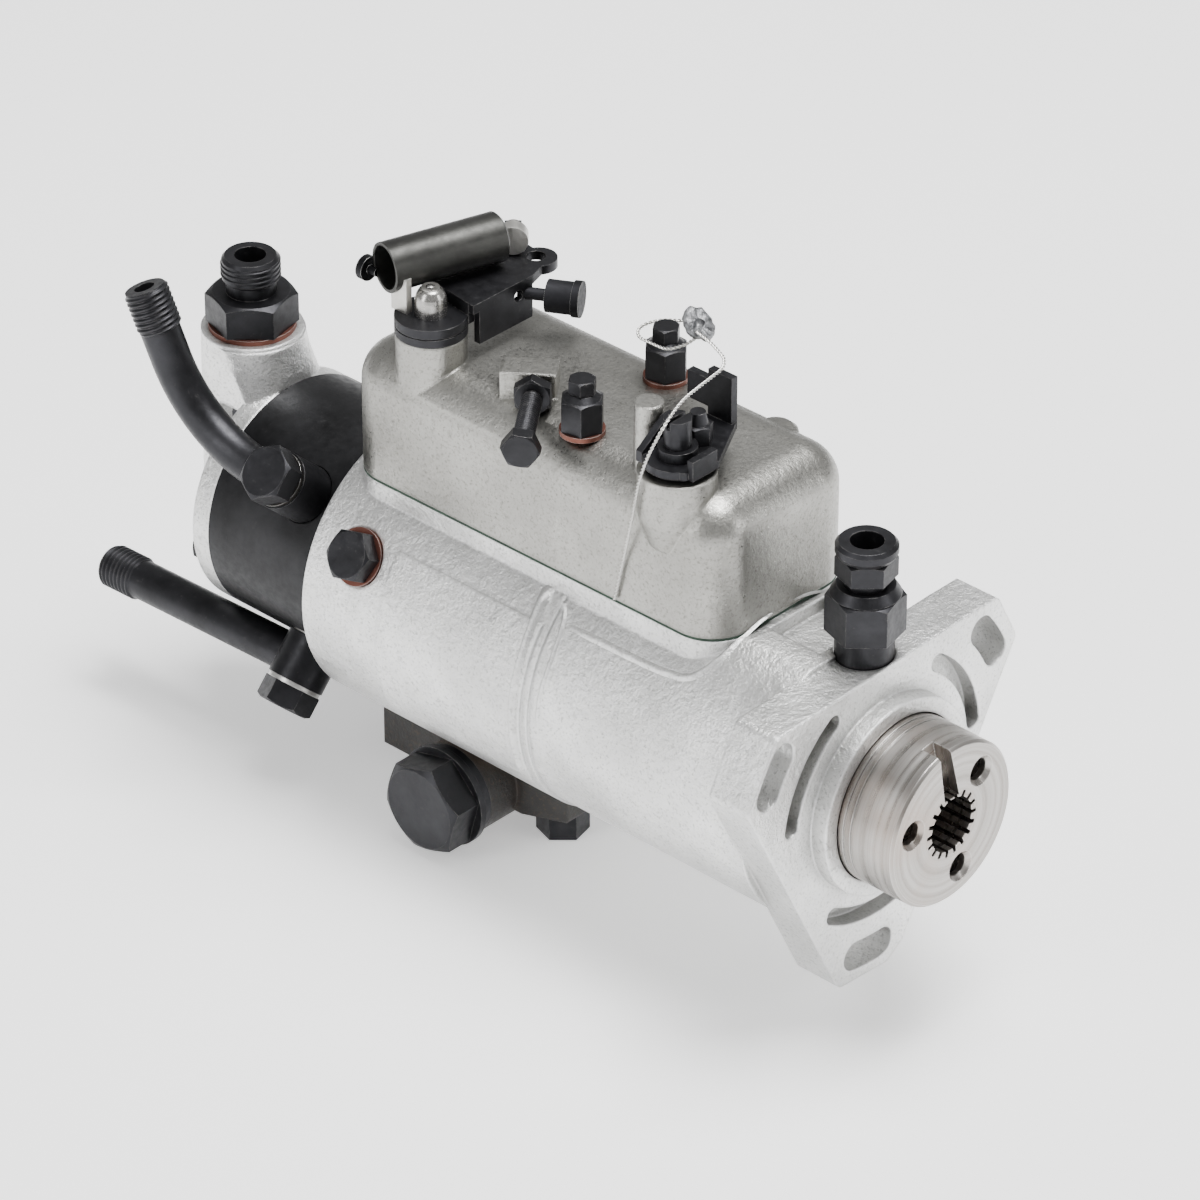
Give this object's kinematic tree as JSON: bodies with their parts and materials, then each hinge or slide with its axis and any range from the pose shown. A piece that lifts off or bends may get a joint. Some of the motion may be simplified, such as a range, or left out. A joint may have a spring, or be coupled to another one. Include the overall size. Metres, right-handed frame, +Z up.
{
  "type": "rotary diesel injection pump",
  "caption": "Flange-mounted rotary diesel injection pump with a splined drive hub, governor cover with control levers, black distributor head and steel outlet pipes.",
  "frame": {"origin": "on the drive axis, in the mounting face of the flange", "axes": "+X along the drive axis out of the drive end, +Z up to the governor cover"},
  "size_m": [0.2801, 0.1047, 0.1708],
  "materials": {
    "housing_casting": "shot-blasted casting",
    "cover_casting": "satin casting",
    "gasket_sheet": "matt sheet",
    "black_steel": "black oxide",
    "black_head": "black oxide",
    "copper_washer": "soft copper",
    "plain_steel": "machined",
    "bright_steel": "turned bright",
    "dark_iron": "bare iron",
    "spring_steel": "drawn wire",
    "bearing_bronze": "bearing bronze",
    "seal_rubber": "moulded",
    "zinc_steel": "zinc plated",
    "lead": "soft grey metal",
    "wire_steel": "drawn wire",
    "olive_steel": "dark olive finish"
  },
  "bodies": {
    "pump": {"advance_caps": "black_steel", "advance_housing": "dark_iron", "advance_spring": "spring_steel", "advance_stud": "black_steel", "banjo_bolts": "black_steel", "banjo_washers": "plain_steel", "bleed_screws": "black_steel", "cap_screws": "black_steel", "control_bracket": "plain_steel", "cover_gasket": "gasket_sheet", "cover_nuts": "black_steel", "drive_bush": "bearing_bronze", "drive_seal": "seal_rubber", "end_plate": "housing_casting", "governor_cover": "cover_casting", "governor_spring": "spring_steel", "head_locating_fitting": "black_steel", "head_locking_bolt": "black_steel", "hydraulic_head": "black_head", "idle_screw": "black_steel", "inlet_adapter": "black_steel", "inspection_cover": "zinc_steel", "lead_seal": "lead", "leak_off_adapter": "black_steel", "leak_off_union": "black_steel", "outlet_pipes": "black_steel", "pump_housing": "housing_casting", "regulating_sleeve": "plain_steel", "regulating_spring": "spring_steel", "seal_wire_loop": "wire_steel", "seal_wire_tail": "wire_steel", "sealing_washers": "copper_washer", "shaft_washers": "black_steel", "transfer_liner": "plain_steel"},
    "drive": {"drive_hub": "bright_steel", "quill_shaft": "plain_steel", "weight_carrier": "plain_steel", "distributor_rotor": "bright_steel", "pump_plungers": "bright_steel", "roller_shoes": "plain_steel", "transfer_rotor": "plain_steel"},
    "weight_1": {"governor_weight_1": "plain_steel"},
    "weight_2": {"governor_weight_2": "plain_steel"},
    "weight_3": {"governor_weight_3": "plain_steel"},
    "weight_4": {"governor_weight_4": "plain_steel"},
    "sleeve": {"thrust_sleeve": "plain_steel"},
    "arm": {"governor_arm": "plain_steel"},
    "link": {"metering_link": "plain_steel"},
    "valve": {"metering_valve": "bright_steel"},
    "throttle": {"throttle_shaft": "black_steel", "throttle_stop_plate": "black_steel", "throttle_clamp": "black_steel"},
    "shutoff": {"shutoff_shaft": "plain_steel", "shutoff_lever": "black_steel", "lever_fasteners": "zinc_steel", "spring_tube": "olive_steel", "tube_fittings": "zinc_steel"},
    "cam": {"cam_ring": "plain_steel"},
    "timing_piston": {"advance_piston": "plain_steel"},
    "pressure_piston": {"regulating_piston": "bright_steel"}
  },
  "joints": [
    {"name": "drive_spin", "type": "hinge", "parent": "pump", "child": "drive", "pos_m": [0, 0, 0], "axis": [1, 0, 0], "continuous": true},
    {"name": "sleeve_slide", "type": "slide", "parent": "drive", "child": "sleeve", "axis": [-1, 0, 0], "range_m": [0, 0.0024]},
    {"name": "weight_1_hinge", "type": "hinge", "parent": "drive", "child": "weight_1", "pos_m": [-0.0506, 0, 0.017], "axis": [0, 1, 0], "range_deg": [0, 18.5]},
    {"name": "weight_2_hinge", "type": "hinge", "parent": "drive", "child": "weight_2", "pos_m": [-0.0506, -0.017, 0], "axis": [0, 0, 1], "range_deg": [0, 18.5]},
    {"name": "weight_3_hinge", "type": "hinge", "parent": "drive", "child": "weight_3", "pos_m": [-0.0506, 0, -0.017], "axis": [0, -1, 0], "range_deg": [0, 18.5]},
    {"name": "weight_4_hinge", "type": "hinge", "parent": "drive", "child": "weight_4", "pos_m": [-0.0506, 0.017, 0], "axis": [0, 0, -1], "range_deg": [0, 18.5]},
    {"name": "arm_hinge", "type": "hinge", "parent": "pump", "child": "arm", "pos_m": [-0.0916, 0, 0.044], "axis": [0, 1, 0], "range_deg": [0, 4], "deforming": ["governor_spring"]},
    {"name": "link_slide", "type": "slide", "parent": "pump", "child": "link", "axis": [1, 0, 0], "range_m": [0, 0.0011]},
    {"name": "valve_hinge", "type": "hinge", "parent": "pump", "child": "valve", "pos_m": [-0.152, 0.008, 0.03], "axis": [0, 0, 1], "range_deg": [0, 10.5]},
    {"name": "throttle_hinge", "type": "hinge", "parent": "pump", "child": "throttle", "pos_m": [-0.0545, -0.0185, 0.08], "axis": [0, 0, 1], "range_deg": [-32, 0]},
    {"name": "shutoff_hinge", "type": "hinge", "parent": "pump", "child": "shutoff", "pos_m": [-0.144, -0.015, 0.08], "axis": [0, 0, 1], "range_deg": [0, 35]},
    {"name": "cam_advance", "type": "hinge", "parent": "pump", "child": "cam", "pos_m": [-0.1306, 0, 0], "axis": [1, 0, 0], "range_deg": [-5, 5], "deforming": ["advance_spring"]},
    {"name": "timing_slide", "type": "slide", "parent": "pump", "child": "timing_piston", "axis": [0, 1, 0], "range_m": [-0.0042, 0.0042]},
    {"name": "regulating_slide", "type": "slide", "parent": "pump", "child": "pressure_piston", "axis": [0, 0, 1], "range_m": [0, 0.004], "deforming": ["regulating_spring"]}
  ],
  "couplings": [
    {"joint": "weight_1_hinge", "follows": "sleeve_slide", "rad_per_m": 133.3},
    {"joint": "weight_2_hinge", "follows": "sleeve_slide", "rad_per_m": 133.3},
    {"joint": "weight_3_hinge", "follows": "sleeve_slide", "rad_per_m": 133.3},
    {"joint": "weight_4_hinge", "follows": "sleeve_slide", "rad_per_m": 133.3},
    {"joint": "arm_hinge", "follows": "sleeve_slide", "rad_per_m": 27.78},
    {"joint": "link_slide", "follows": "sleeve_slide", "ratio": 0.4444},
    {"joint": "valve_hinge", "follows": "sleeve_slide", "rad_per_m": 74.07},
    {"joint": "timing_slide", "follows": "cam_advance", "m_per_rad": 0.0466}
  ]
}
